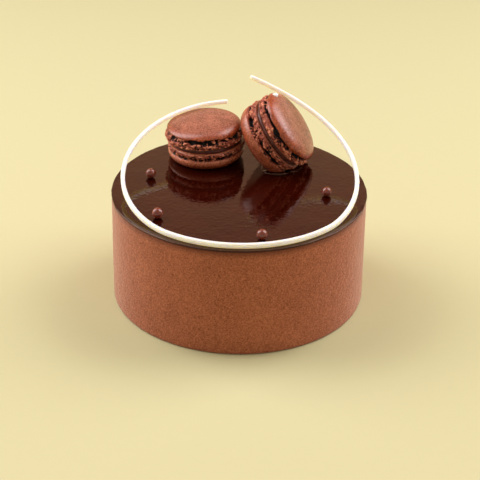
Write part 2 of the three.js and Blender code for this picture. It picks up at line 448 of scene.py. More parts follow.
@dataclass(frozen=True)
class CocoaVelvet(Finish):
    """Sprayed cocoa butter: a fine matte nap, paler where it is seen edge on."""

    label: str = "cocoa_velvet"
    dark: tuple = paint(134, 72, 45)
    pale: tuple = paint(193, 118, 85)
    # Colour of the darker band just under the glaze
    top_band: tuple = paint(98, 48, 30)
    foot: tuple = paint(132, 60, 34)
    sheen: tuple = paint(255, 232, 220)
    nap: Grain = Grain(1.1, share=0.45, depth=0.22, detail=3.0, roughness=0.6)
    grain: Grain = Grain(0.8, share=0.65, depth=0.16, roughness=0.6)
    cloud: Grain = Grain(26.0, share=0.14)
    speckle: Pair = (0.42, 0.82)
    top_band_from: float = 61.8
    top_band_to: float = 66.6
    top_band_share: float = 0.75
    foot_height: float = 2.2
    foot_share: float = 0.6
    fray: float = 2.0

    def fill(self, recipe: Recipe) -> None:
        """Speckles the nap and darkens it under the glaze and at the foot."""
        nap, grain, cloud = (recipe.noise(layer) for layer in (self.nap, self.grain, self.cloud))
        tone = nap * self.nap.share + grain * self.grain.share + cloud * self.cloud.share
        colour = recipe.blend(recipe.ease(tone, *self.speckle), self.dark, self.pale)
        height = recipe.part("Z", recipe.places()) + (nap - 0.5) * (self.fray * MM)
        # Darker in a band just under the glaze
        top_band = recipe.ease(height, self.top_band_from * MM, self.top_band_to * MM)
        colour = recipe.blend(top_band * self.top_band_share, colour, self.top_band)
        low = 1 - recipe.ease(height, 0.0, self.foot_height * MM)
        colour = recipe.blend(low * self.foot_share, colour, self.foot)
        relief = recipe.bump(grain, self.grain.depth, recipe.bump(nap, self.nap.depth))
        recipe.surface({
            "Base Color": colour, "Roughness": 0.82, "Normal": relief, "Specular IOR Level": 0.25,
            "Sheen Weight": 0.8, "Sheen Roughness": 0.34, "Sheen Tint": self.sheen,
        })


@dataclass(frozen=True)
class MirrorGlaze(Finish):
    """Dark poured glaze, mirror bright and warm, with the faint ripples of its setting."""

    label: str = "mirror_glaze"
    deep: tuple = (0.017, 0.0013, 0.0003, 1.0)
    warm: tuple = (0.023, 0.0018, 0.0005, 1.0)
    gloss: tuple = (1.0, 0.66, 0.5, 1.0)
    cloud: Grain = Grain(24.0)
    ripple: Grain = Grain(2.4, depth=0.06, detail=1.0)
    swell: Grain = Grain(15.0, depth=0.08, detail=1.0)

    def fill(self, recipe: Recipe) -> None:
        """Ripples the gloss."""
        colour = recipe.mottle(recipe.noise(self.cloud), self.deep, self.warm)
        swell = recipe.bump(recipe.noise(self.swell), self.swell.depth)
        ripple = recipe.bump(recipe.noise(self.ripple), self.ripple.depth, swell)
        recipe.surface({
            "Base Color": colour, "Roughness": 0.05, "Normal": ripple, "IOR": 1.56,
            "Specular Tint": self.gloss,
        })


@dataclass(frozen=True)
class WhiteChocolate(Finish):
    """Tempered white chocolate, satin and faintly streaked, with light soaking through it, painted shade
    on its underside and a painted glow on its sides.
    """

    label: str = "white_chocolate"
    cream: tuple = paint(250, 245, 228)
    milk: tuple = paint(254, 252, 243)
    # Colour of the painted shade on the underside
    shade: tuple = paint(250, 224, 162)
    dull: tuple = (0.0, 0.0, 0.0, 1.0)
    # Light that the sides give off: a painted glow
    glow: tuple = (0.26, 0.20, 0.11, 1.0)
    glow_reach: tuple = (0.0050, 0.0044, 0.0026)
    streak: Grain = Grain(3.0, depth=0.08, detail=3.0)

    def fill(self, recipe: Recipe) -> None:
        """Streaks the cream, paints shade on its underside and paints a glow on its sides."""
        streak = recipe.noise(self.streak)
        colour = recipe.mottle(streak, self.cream, self.milk)
        # Painted shade: the underside is painted a darker golden cream
        colour = recipe.blend(recipe.mark("under"), colour, self.shade)
        # Painted glow: the sides emit light, standing in for light that passes through the rod
        glow = recipe.blend(recipe.mark("face"), self.dull, self.glow)
        recipe.surface({
            "Base Color": colour, "Roughness": 0.38, "Normal": recipe.bump(streak, self.streak.depth),
            "Subsurface Weight": 0.9, "Subsurface Radius": self.glow_reach, "Subsurface Scale": 1.0,
            "Emission Color": glow, "Emission Strength": 1.0,
        })


@dataclass(frozen=True)
class MacaronShell(Finish):
    """Baked almond shell: a satin crown over a dry foot full of gashes, with painted shade and painted
    light.
    """

    label: str = "macaron_shell"
    crown_dark: tuple = paint(112, 61, 45)
    crown_pale: tuple = paint(175, 109, 86)
    # Steep wall colours: partly the shell's own baked tan, partly painted shade
    wall_dark: tuple = paint(112, 44, 20)
    wall_pale: tuple = paint(186, 89, 48)
    # Painted bounce light: the lower shells are painted paler just above their gashes
    bowl_dark: tuple = paint(166, 84, 54)
    bowl_pale: tuple = paint(246, 152, 112)
    crumb_low: tuple = paint(152, 66, 38)
    # Colour of the painted highlight on crumb tips
    crumb_tip: tuple = paint(224, 138, 100)
    # Colour of the painted shade in gashes and pits
    hollow_shade: tuple = paint(14, 4, 3)
    # Colour of the painted contact shadow where a shell meets the glaze
    damp: tuple = paint(34, 11, 6)
    contact_shade_share: float = 0.45
    cloud: Grain = Grain(7.0, share=0.3, detail=3.0)
    pores: Grain = Grain(1.0, share=0.7, depth=0.17, roughness=0.6)
    dimples: Grain = Grain(1.3, depth=0.07)
    toning: Pair = (0.31, 0.69)
    tipping: Pair = (0.2, 0.9)
    tip_fray: float = 0.5
    hollowing: Pair = (0.12, 0.5)
    satin: float = 0.26
    dryness: float = 0.4

    def fill(self, recipe: Recipe) -> None:
        """Clouds the crown and dries the foot; paints shade on the walls (partly baked tan), in the gashes
        and at the glaze, and paints light on the lower bowls and crumb tips.
        """
        pores = recipe.noise(self.pores)
        foot = recipe.mark("foot")
        tone = recipe.noise(self.cloud) * self.cloud.share + pores * self.pores.share
        tone = recipe.ease(tone, *self.toning)
        colour = recipe.blend(tone, self.crown_dark, self.crown_pale)
        # Steep walls painted darker: partly the shell's own baked tan, partly painted shade
        wall = recipe.blend(tone, self.wall_dark, self.wall_pale)
        colour = recipe.blend(recipe.mark("wall"), colour, wall)
        # Painted bounce light on the lower shells above their gashes
        bowl = recipe.blend(tone, self.bowl_dark, self.bowl_pale)
        colour = recipe.blend(recipe.mark("bowl"), colour, bowl)
        # Painted highlight: crumb tips and bridging crumbs are painted paler
        tip = recipe.mark("tip") + (pores - 0.5) * self.tip_fray
        tip = recipe.ease(tip, *self.tipping)
        colour = recipe.blend(foot, colour, recipe.blend(tip, self.crumb_low, self.crumb_tip))
        # Painted shade: gashes, splits and pits are painted near black
        hollow_shade = recipe.ease(recipe.mark("cavity"), *self.hollowing)
        colour = recipe.blend(hollow_shade, colour, self.hollow_shade)
        # Painted contact shadow at the bottom, where the shell meets the glaze
        colour = recipe.blend(recipe.mark("damp") * self.contact_shade_share, colour, self.damp)
        dimples = recipe.bump(recipe.noise(self.dimples), self.dimples.depth)
        recipe.surface({
            "Base Color": colour, "Roughness": self.satin + foot * self.dryness,
            "Normal": recipe.bump(pores, self.pores.depth, dimples), "Specular IOR Level": 0.66,
        })


@dataclass(frozen=True)
class Mottled(Finish):
    """A smooth coat in two tones, unevenly glossy."""

    deep: tuple
    soft: tuple
    cloud: Grain
    roughness: float
    dulling: float
    specular: float

    def fill(self, recipe: Recipe) -> None:
        """Mottles the coat and its gloss."""
        cloud = recipe.noise(self.cloud)
        recipe.surface({
            "Base Color": recipe.mottle(cloud, self.deep, self.soft),
            "Roughness": self.roughness + cloud * self.dulling,
            "Normal": recipe.bump(cloud, self.cloud.depth), "Specular IOR Level": self.specular,
        })


@dataclass(frozen=True)
class Ganache(Mottled):
    """Dark soft filling with a dull gloss."""

    label: str = "ganache"
    deep: tuple = paint(76, 32, 22)
    soft: tuple = paint(102, 50, 38)
    cloud: Grain = Grain(3.0, depth=0.12, detail=3.0)
    roughness: float = 0.38
    dulling: float = 0.15
    specular: float = 0.5


@dataclass(frozen=True)
class PearlCoat(Mottled):
    """Polished chocolate coat of a crisp pearl."""

    label: str = "chocolate_pearl"
    deep: tuple = paint(101, 39, 21)
    soft: tuple = paint(128, 56, 35)
    cloud: Grain = Grain(1.6, depth=0.03, detail=3.0)
    roughness: float = 0.14
    dulling: float = 0.1
    specular: float = 0.8


@dataclass(frozen=True)
class FloorPaper(Finish):
    """Plain pale paper under the cake."""

    label: str = "floor_paper"
    far: tuple = paint(188, 186, 144)
    near: tuple = paint(206, 204, 160)
    far_edge: float = 500.0
    near_edge: float = -300.0
    fibre: Grain = Grain(6.0, share=0.1, detail=3.0)

    def fill(self, recipe: Recipe) -> None:
        """Gives the paper its faint fibre, and paints it paler from far to near as painted light that
        evens out its shading.
        """
        fibre = recipe.noise(self.fibre) * self.fibre.share
        # Painted light: the near floor is painted paler
        reach = {1: self.far_edge * MM, 2: self.near_edge * MM, 3: 0.0, 4: 1 - self.fibre.share}
        depth = {0: recipe.part("Y", recipe.places())}
        nearness = recipe.node("ShaderNodeMapRange", 0, None, depth | reach)
        recipe.surface({
            "Base Color": recipe.blend(nearness + fibre, self.far, self.near),
            "Roughness": 0.9, "Specular IOR Level": 0.1,
        })


def place(piece: Piece, finish: Finish, slot: Slot, nodes: tuple[str, ...] = ()) -> None:
    """Dresses a piece, makes it ride on the cake and hides the solids it stands for.

    Args:
        piece: The new piece, already in its place.
        finish: What it is dressed in.
        slot: The record's slot for that finish.
        nodes: Names of the solids that it replaces.
    """
    piece.data.materials.append(finish.material())
    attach(piece, BODY)
    if nodes:
        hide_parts(*nodes)
    log.info("%s: %d faces in %s", piece.name, len(piece.data.polygons), slot.value)


@dataclass
class Cake:
    """The velvet cake and the glaze poured over its top."""

    radius: float = 75.0
    top: float = GLAZE_TOP
    glaze_thickness: float = 1.5
    lip_thickness: float = 0.75
    lip_width: float = 1.6
    lip_band: Pair = (-2.5, -0.2)
    lip_swell: float = 0.12
    lip_waves: tuple[Waves, ...] = (Waves(0.16, 9.0), Waves(0.1, 3.0, 1))
    lip_sag: Waves = Waves(0.12, 6.0, 2)
    rim_round: float = 0.55
    rim_start: float = -20.0
    foot_round: float = 1.2
    shoulder_round: float = 0.4
    seam_gap: float = 0.1
    glaze_eye: float = 1.0
    side_columns: int = 720
    side_rows: int = 100
    glaze_columns: int = 480
    glaze_rows: int = 84
    nap: tuple[Waves, ...] = (Waves(0.25, 30.0), Waves(0.07, 2.0, 1), Waves(0.056, 1.2, 2))
    nap_heights: Pair = (0.2, 2.0)
    nap_radii: Pair = (60.0, 74.0)
    seed: int = 5

    def side_profile(self) -> Array:
        """Gives the side's radius and height from the underside to the hidden top."""
        top = self.top - self.glaze_thickness - self.seam_gap
        brim = self.top - self.lip_thickness - self.seam_gap
        shoulder = brim - self.shoulder_round
        inner = self.radius - self.lip_width - self.seam_gap
        foot = self.radius - self.foot_round
        heights = np.linspace(self.foot_round, shoulder, self.side_rows)[1:-1]
        return np.concatenate([
            level_run(CORE, foot, 0.0, rows=8)[:-1],
            arc((foot, self.foot_round), self.foot_round, -90, 0, steps=6),
            np.stack([np.full(len(heights), self.radius), heights], axis=1),
            arc((self.radius - self.shoulder_round, shoulder), self.shoulder_round, 0, 90, steps=4),
            np.array([(inner, brim)]),
            level_run(inner - self.seam_gap, CORE, top, rows=5),
        ])

    def build_side(self) -> Piece:
        """Builds the velvet side with the wobble and the nap of the sprayed coat."""
        rings = turned(self.side_profile(), self.side_columns)
        noise = Unevenness(self.seed)
        reach = ramp(rings[..., 2], *self.nap_heights) * ramp(from_axis(rings), *self.nap_radii)
        return closed_skin("velvet_cake", pushed_out(rings, reach * noise.layers(rings, *self.nap)))

    def glaze_profile(self) -> Array:
        """Gives the glaze's radius and height from its underside to the middle of its top."""
        bottom = self.top - self.glaze_thickness
        brim = self.top - self.lip_thickness
        rim = self.radius - self.rim_round
        inner = self.radius - self.lip_width
        return np.concatenate([
            level_run(CORE, inner - self.seam_gap, bottom, rows=5),
            np.array([(inner, brim), (self.radius - self.shoulder_round, brim)]),
            arc((rim, self.top - self.rim_round), self.rim_round, self.rim_start, 90, steps=14),
            level_run(rim, self.glaze_eye, self.top, self.glaze_rows)[1:],
        ])

    def build_glaze(self) -> Piece:
        """Builds the glaze with a slightly uneven lip."""
        rings = turned(self.glaze_profile(), self.glaze_columns)
        noise = Unevenness(self.seed + 1)
        lip = ramp(from_axis(rings) - self.radius, *self.lip_band)
        rings = pushed_out(rings, lip * (self.lip_swell + noise.layers(rings, *self.lip_waves)))
        sag = lip * noise.layers(rings, self.lip_sag)
        return closed_skin("mirror_glaze", rings + sag[..., None] * UP)

    def build(self) -> None:
        """Builds and dresses the cake and its glaze."""
        place(self.build_side(), CocoaVelvet(), Slot.VELVET, ("cake_body",))
        place(self.build_glaze(), MirrorGlaze(), Slot.GLAZE, ("glaze",))


@dataclass
class WhiteRing:
    """The open ring of white chocolate that lies on the front and rises to the back."""

    radius: float = 68.5
    centre: Pair = (0.55, -2.7)
    thickness: float = 2.9
    width: float = 2.55
    width_waves: Waves = Waves(0.06, 11.0)
    arm_height: float = 2.65
    laid_height: float = 3.1
    laid_until: float = 8.0
    height_waves: Waves = Waves(0.06, 13.0, 1)
    left_end: float = -173.1
    right_end: float = 174.3
    left_start: float = 37.9
    left_rise: float = 25.5
    left_power: float = 1.62
    right_start: float = 49.0
    right_rise: float = 50.3
    right_power: float = 1.44
    right_tuck: float = 14.1
    tuck_power: float = 3.0
    squareness: float = 3.4
    steps: int = 520
    columns: int = 24
    end_round: float = 0.35
    under_ramp: Pair = (0.1, 0.9)
    face_ramp: Pair = (-0.5, 0.3)
    seed: int = 17

    def path(self) -> Array:
        """Gives the middle line of the rod from its left end to its right end."""
        angle = np.linspace(self.left_end, self.right_end, self.steps)
        left = np.clip((-angle - self.left_start) / (180 - self.left_start), 0, 1)
        right = np.clip((angle - self.right_start) / (180 - self.right_start), 0, 1)
        lift = self.left_rise * np.sin(left * math.pi / 2) ** self.left_power
        lift = lift + self.right_rise * right**self.right_power
        radius = self.radius - self.right_tuck * right**self.tuck_power
        turn = np.radians(angle)
        return np.stack([
            self.centre[0] + radius * np.sin(turn),
            self.centre[1] - radius * np.cos(turn),
            GLAZE_TOP + self.thickness / 2 + lift,
        ], axis=1)

    def rod(self, path: Array, across: Array, tall: Array) -> Piece:
        """Sweeps an upright rounded section along a path.

        Args:
            path: Points of the middle line.
            across: Half the level width at each point.
            tall: Half the height at each point.

        Returns:
            The new object, with marks for the painted shade on its underside and the painted glow on its
            sides.
        """
        tangent = np.gradient(path, axis=0)
        tangent /= np.linalg.norm(tangent, axis=1, keepdims=True)
        inward = np.cross(UP, tangent)
        inward /= np.linalg.norm(inward, axis=1, keepdims=True)
        rising = np.cross(tangent, inward)
        cosine, sine = circle(self.columns, start=0.5)
        level = np.sign(cosine) * np.abs(cosine) ** (2 / self.squareness)
        height = np.sign(sine) * np.abs(sine) ** (2 / self.squareness)
        rings = path[:, None] + inward[:, None] * (across[:, None] * level)[..., None]
        rings = rings + rising[:, None] * (tall[:, None] * height)[..., None]
        # Where the painted shade and the painted glow lie
        marks = {"under": ramp(-sine, *self.under_ramp), "face": ramp(-sine, *self.face_ramp)}
        marks = {label: np.broadcast_to(mark, rings.shape[:2]) for label, mark in marks.items()}
        return closed_skin("white_ring", rings, marks)

    def build(self) -> None:
        """Builds and dresses the ring."""
        path = self.path()
        noise = Unevenness(self.seed)
        half = self.thickness / 2
        laid = 1 - ramp(path[:, 2] - GLAZE_TOP - half, 0.0, self.laid_until)
        across = self.width / 2 + noise.layers(path, self.width_waves)
        tall = (self.arm_height + (self.laid_height - self.arm_height) * laid) / 2
        tall = tall + noise.layers(path, self.height_waves)
        run = run_along(path)
        near_end = 1 - np.clip(np.minimum(run, run[-1] - run) / self.end_round, 0, 1)
        ease = np.sqrt(np.clip(1 - near_end**2, 0, 1))
        shrink = (half - self.end_round * (1 - ease)) / half
        ring = self.rod(path, across * shrink, tall * shrink)
        place(ring, WhiteChocolate(), Slot.WHITE, ("white_ring",))


@dataclass(frozen=True)
class ShellForm:
    """One shell: a foot that meets the filling, a band of gashes and a smooth crown.

    The crown is a steep edge, inset from the foot and rounded where it starts, with a low dome
    on it. It can lie off the middle by its slide and be thicker on one side by its slant in
    degrees. Tan is how dark its steep edge is painted: partly its own baked colour, partly painted
    shade. Its painted bounce light is how much paler it is painted just above the gashes.
    A lower shell faces down, which is -1.
    """

    name: str
    seed: int
    foot: float
    gashes: float
    crown: float
    edge: float
    inset: float
    raggedness: float
    bridging: float
    gape: float
    fullness: float
    tan: float
    frill: float = 0.0
    painted_bounce: float = 0.0
    lip_round: float = 0.0
    slide: Pair = (0.0, 0.0)
    slant: float = 0.0
    facing: int = 1

    @property
    def lip(self) -> float:
        """Height of the crown's lower edge above the flat face."""
        return self.foot + self.gashes


@dataclass(frozen=True)
class Scatter:
    """Round things strewn over a foot. Reach is a share of spacing, and caps are cut off at 1."""

    spacing: float
    warp: float
    reach: float
    channel: int
    crest: float = 1.0

    def caps(self, noise: Unevenness, points: Array, warp: Array) -> tuple[Array, ...]:
        """Gives rounded caps, how much farther the next thing is, and each thing's own draw."""
        near, after, pick = noise.cells(points + self.warp * warp, self.spacing, self.channel)
        return np.clip(self.crest - (near / self.reach) ** 2, 0, 1), after - near, pick


@dataclass(frozen=True)
class FootRelief:
    """The craggy foot: pebbles with splits between them, pits, and gashes under the crown.

    Sizes and depths are in millimetres. A pair is where a ramp starts and where it ends.
    """

    pebbles: Scatter = Scatter(spacing=1.6, warp=0.6, reach=0.7, channel=20)
    pits: Scatter = Scatter(spacing=1.25, warp=0.35, reach=0.46, channel=40)
    bridges: Scatter = Scatter(spacing=2.1, warp=0.5, reach=0.62, channel=45, crest=1.4)
    warps: tuple[Waves, ...] = (Waves(1.0, 1.7, 11), Waves(1.0, 1.7, 12), Waves(1.0, 1.7, 13))
    patches: Waves = Waves(1.0, 4.0, 30)
    sway: Waves = Waves(0.2, 8.0, 50)
    jitter: Waves = Waves(0.35, 2.4, 51)
    gape: Waves = Waves(0.8, 3.6, 52)
    breaks: Waves = Waves(1.0, 5.0, 53)
    wobble: Waves = Waves(0.45, 12.0, 60)
    lump: Waves = Waves(0.14, 22.0, 61)
    grain: Waves = Waves(0.3, 1.0, 62)
    least_pebble: float = 0.3
    split_gap: Pair = (0.05, 0.24)
    split_ramp: Pair = (-0.1, 0.45)
    pit_ramp: Pair = (0.48, 0.56)
    gash_place: float = 0.56
    gape_share: float = 0.95
    least_gape: float = 0.15
    break_ramp: Pair = (-0.85, -0.4)
    gash_power: int = 5
    gash_reach: float = 0.5
    gash_depth: float = 2.6
    deepest: float = 3.1
    pebble_height: float = 1.2
    split_depth: float = 1.2
    pit_depth: float = 1.4
    sink: float = 0.35
    lip_calm: float = 0.6
    rise: Pair = (0.05, 0.8)
    margin: Pair = (-4.0, -1.0)
    lip_fade: Pair = (-0.4, 0.1)
    frill_share: float = 0.7
    calm_heights: Pair = (-0.2, 0.4)
    drawn_share: float = 0.3
    split_shade: float = 0.55
    pit_shade: float = 0.85
    pebble_shade: float = 0.25
    pebble_level: float = 0.2
    bridge_light: float = 0.4

    def strew(self, noise: Unevenness, rings: Array, drawn_in: Array, bridging: float,
              ) -> tuple[Array, ...]:
        """Strews the foot with pebbles, splits, pits and crumbs that bridge the gashes.

        Args:
            noise: The shell's own draws.
            rings: Points of the shell.
            drawn_in: The same points drawn in to the axis, so that pebbles come out broad.
            bridging: Share of the bridging crumbs that are there.

        Returns:
            Pebbles, splits, pits and bridges, from 0 to 1 at each point.
        """
        warp = np.stack([noise.layers(rings, layer) for layer in self.warps], axis=-1)
        pebble, gap, pick = self.pebbles.caps(noise, drawn_in, warp)
        pebble = pebble * (self.least_pebble + (1 - self.least_pebble) * pick)
        patch = ramp(noise.layers(rings, self.patches), *self.split_ramp)
        split = patch * (1 - ramp(gap, *self.split_gap))
        pit, _, pick = self.pits.caps(noise, drawn_in, warp)
        pit = pit * ramp(pick, *self.pit_ramp)
        bridge, _, pick = self.bridges.caps(noise, rings, warp)
        return pebble, split, pit, bridge * (pick < bridging)

    def gashes(self, noise: Unevenness, shell: ShellForm, girdle: Array, height: Array) -> Array:
        """Opens a broken, wandering gash between the foot and the crown.

        Args:
            noise: The shell's own draws.
            shell: The shell's form.
            girdle: Points on a level circle beside each point of the shell.
            height: Height of each point above the flat face.

        Returns:
            How far into a gash each point is, from 0 to 1.
        """
        middle = shell.foot + self.gash_place * shell.gashes
        middle = middle + shell.gashes * noise.layers(girdle, self.sway)
        middle = middle + noise.layers(girdle, self.jitter)
        gape = self.gape_share + noise.layers(girdle, self.gape)
        half = np.maximum(shell.gashes * shell.gape * gape / 2, self.least_gape)
        unbroken = ramp(noise.layers(girdle, self.breaks), *self.break_ramp)
        gash = np.exp(-(np.abs((height - middle) / half) ** self.gash_power)) * unbroken
        return np.where(height > shell.lip + self.gash_reach, 0.0, gash)


@dataclass
class Macaron:
    """Two crowned shells with craggy feet and a dark filling between them."""

    name: str
    upper: ShellForm
    lower: ShellForm
    radius: float
    filling: float
    centre: Triple
    axis_tilt: float
    axis_heading: float
    seed: int
    relief: FootRelief = FootRelief()
    columns: int = 576
    foot_rows: int = 64
    crown_rows: int = 44
    fine_rows: int = 600
    crown_end: float = 0.985
    crown_bunching: int = 3
    face_rows: int = 5
    face_margin: float = 3.0
    filling_columns: int = 240
    dome_power: float = 3.0
    lip_height: float = 0.15
    filling_recess: float = 1.5
    filling_overlap: float = 0.15
    filling_margin: float = 2.0
    filling_waves: Waves = Waves(0.45, 8.0)
    filling_lumps: Waves = Waves(0.2, 2.4, 1)
    sunk: float = 0.6
    contact_shade_heights: Pair = (0.2, 1.1)
    steepness: Pair = (0.12, 0.75)
    painted_bounce_heights: Pair = (1.5, 5.0)
    turn: Array = field(init=False)

    def __post_init__(self) -> None:
        """Works out the turn from the macaron's own axis to the cake's."""
        tilt, heading = math.radians(self.axis_tilt), math.radians(self.axis_heading)
        level = math.sin(tilt)
        axis = Vector((level * math.cos(heading), level * math.sin(heading), math.cos(tilt)))
        self.turn = np.array(Vector(UP).rotation_difference(axis).to_matrix())

    def set_down(self, points: Array) -> Array:
        """Moves points from the macaron's own frame to the cake's."""
        return points @ self.turn.T + np.array(self.centre) + UP * GLAZE_TOP

    def shell_profile(self, shell: ShellForm) -> tuple[Array, Array]:
        """Gives a shell's profile from its flat face to the top of its crown.

        Args:
            shell: The shell's form.

        Returns:
            Radius and height of each row, and how much of the crown's slant the row takes.
        """
        rim = self.radius - shell.inset
        start = self.lip_height + shell.lip_round
        # The rounded edge and the wall of the foot, the band of gashes and the crown's lip
        knots = np.array([
            (self.radius - 1.9, 0.0),
            (self.radius - 0.9, 0.1),
            (self.radius - 0.35, 0.5),
            (self.radius - 0.05, 1.2),
            (self.radius, 0.55 * shell.foot),
            (self.radius - 0.1, shell.foot),
            ((self.radius + rim) / 2 - 0.3, shell.foot + 0.5 * shell.gashes),
            (rim - 0.5 - shell.lip_round, shell.lip - 0.75),
            (rim - 0.4 - 0.8 * shell.lip_round, shell.lip - 0.45),
            (rim - 0.12 - 0.35 * shell.lip_round, shell.lip - 0.2 + 0.3 * shell.lip_round),
            (rim, shell.lip + start),
        ])
        foot = evenly(knots, self.foot_rows)
        share = 1 - np.linspace(0, self.crown_end, self.fine_rows) ** self.crown_bunching
        rise = np.sqrt(1 - share ** (2 / shell.fullness))
        dome = (shell.crown - shell.edge) * (1 - share**self.dome_power)
        edge = shell.lip + start + (shell.edge - start) * rise
        crown = evenly(np.stack([rim * share, edge + dome, rise], axis=1), self.crown_rows + 1)[1:]
        face = level_run(CORE, self.radius - self.face_margin, 0.0, self.face_rows)
        profile = np.concatenate([face, foot, crown[:, :2]])
        return profile, np.concatenate([np.zeros(len(face) + len(foot)), crown[:, 2]])

    def shell_rings(self, shell: ShellForm) -> tuple[Array, Marks]:
        """Gives one shell along +Z with its flat face at height 0.

        Args:
            shell: The shell's form.

        Returns:
            The points, and the marks that the finish reads.
        """
        relief = self.relief
        noise = Unevenness(shell.seed)
        profile, slanted = self.shell_profile(shell)
        rings = turned(profile, self.columns)
        height = rings[..., 2]
        out = outward(rings)
        girdle = out * self.radius
        spread = from_axis(rings)
        above = height - shell.lip
        craggy = ramp(height, *relief.rise) * ramp(spread - self.radius, *relief.margin)
        low, high = relief.lip_fade
        craggy = craggy * (1 - ramp(above, low + relief.frill_share * shell.frill, high + shell.frill))

        drawn_in = out * (spread - relief.drawn_share * self.radius)[..., None] + height[..., None] * UP
        pebble, split, pit, bridge = relief.strew(noise, rings, drawn_in, shell.bridging)
        gash = relief.gashes(noise, shell, girdle, height) * (1 - bridge)

        crags = relief.pebble_height * pebble - relief.split_depth * split - relief.pit_depth * pit
        crags = crags + noise.layers(rings, relief.grain) - relief.sink
        crags = crags * (1 - relief.lip_calm * ramp(above, *relief.calm_heights))
        shift = craggy * (noise.layers(girdle, relief.wobble) + shell.raggedness * crags)
        shift = shift - relief.gash_depth * gash
        shift = shift + noise.layers(girdle, relief.lump) * ramp(height, 0.0, 1.0)
        rings = pushed_out(rings, np.maximum(shift, -relief.deepest))
        rings[..., 2] += math.tan(math.radians(shell.slant)) * rings[..., 0] * slanted[:, None]
        rings = rings + np.array([*shell.slide, 0.0])

        # Steep walls above the foot are painted darker: partly baked tan, partly painted shade
        slope = np.gradient(profile, axis=0)
        steep = ramp(np.abs(slope[:, 1]) / np.hypot(slope[:, 0], slope[:, 1]), *self.steepness)
        wall_darkening = shell.tan * steep * (profile[:, 1] > shell.foot)
        # Painted shade in splits, pits and the low ground between pebbles, and in the gashes
        shade = relief.split_shade * split + relief.pit_shade * pit
        shade = shade + relief.pebble_shade * (relief.pebble_level - pebble)
        return rings, {
            "cavity": np.clip(gash + craggy * shade, 0, 1),
            "foot": craggy,
            # Painted highlight on crumb tips and bridging crumbs
            "tip": craggy * np.clip(pebble + relief.bridge_light * bridge, 0, 1),
            "wall": np.broadcast_to(wall_darkening[:, None], craggy.shape),
            "bowl": shell.painted_bounce * (1 - ramp(above, *self.painted_bounce_heights)),
        }

    def placed_shell(self, shell: ShellForm) -> tuple[Array, Marks]:
        """Gives one shell's points in the cake's frame, and its marks."""
        rings, marks = self.shell_rings(shell)
        return self.set_down((rings + UP * self.filling / 2) * (1, shell.facing, shell.facing)), marks

    def filling_rings(self) -> Array:
        """Gives the filling with its uneven edge, reaching just into both shells."""
        noise = Unevenness(self.seed + 7)
        half = self.filling / 2 + self.filling_overlap
        side = self.radius - self.filling_recess - half
        profile = np.concatenate([
            level_run(CORE, side, -half, rows=8)[:-1],
            arc((side, 0.0), half, -90, 90, steps=16),
            level_run(side, CORE, half, rows=8)[1:],
        ])
        rings = turned(profile, self.filling_columns)
        edge = ramp(from_axis(rings), side - self.filling_margin, side + half)
        bulge = noise.layers(outward(rings) * self.radius, self.filling_waves)
        return pushed_out(rings, edge * (bulge + noise.layers(rings, self.filling_lumps)))

    def build(self) -> None:
        """Builds and dresses the two shells and the filling."""
        for shell in (self.upper, self.lower):
            node = f"{self.name}_{shell.name}"
            points, marks = self.placed_shell(shell)
            # Painted contact shadow on the lowest part, where the shell meets the glaze
            marks["damp"] = 1 - ramp(points[..., 2] - GLAZE_TOP, *self.contact_shade_heights)
            skin = closed_skin(node, points, marks)
            cut_level(skin, GLAZE_TOP - self.sunk)
            place(skin, MacaronShell(), Slot.SHELL, (node,))
        node = f"{self.name}_filling"
        place(closed_skin(node, self.set_down(self.filling_rings())), Ganache(), Slot.GANACHE, (node,))


@dataclass
class LumpyBall:
    """A slightly uneven ball, which can be squashed and cut flat below a height."""

    name: str
    centre: Array
    radius: float
    lumps: float
    seed: int
    squash: float = 1.0
    cut: float = -math.inf
    rows: int = 29
    columns: int = 48
    pole: float = 88.0
    broad: float = 0.9
    fine: float = 0.4

    def build(self) -> Piece:
        """Builds the ball with its broad and its fine lumps."""
        rings = turned(arc((0.0, 0.0), self.radius, -self.pole, self.pole, self.rows), self.columns)
        noise = Unevenness(self.seed)
        swell = noise.smooth(rings, self.radius * self.broad)
        swell = swell + noise.smooth(rings, self.radius * self.fine, 1) / 2
        swell = 1 + self.lumps / self.radius * swell
        rings = rings * swell[..., None] * (1.0, 1.0, self.squash) + self.centre
        rings[..., 2] = np.maximum(rings[..., 2], self.cut)
        return closed_skin(self.name, rings)


@dataclass
class Pearls:
    """The crisp chocolate pearls that lie on the glaze."""

    nodes: tuple[str, ...] = ("pearl_1", "pearl_2", "pearl_3", "pearl_4")
    lumps: float = 0.05
    gap: float = 0.02
    seed: int = 71

    def build(self) -> None:
        """Builds and dresses each pearl where its solid lies."""
        for number, node in enumerate(self.nodes):
            low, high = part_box(node)
            radius = (high.x - low.x) / 2 / MM
            middle = np.array([(low.x + high.x) / 2, (low.y + high.y) / 2, high.z]) / MM - UP * radius
            cut = GLAZE_TOP + self.gap
            ball = LumpyBall(node, middle, radius, self.lumps, self.seed + number, cut=cut)
            place(ball.build(), PearlCoat(), Slot.PEARL, (node,))


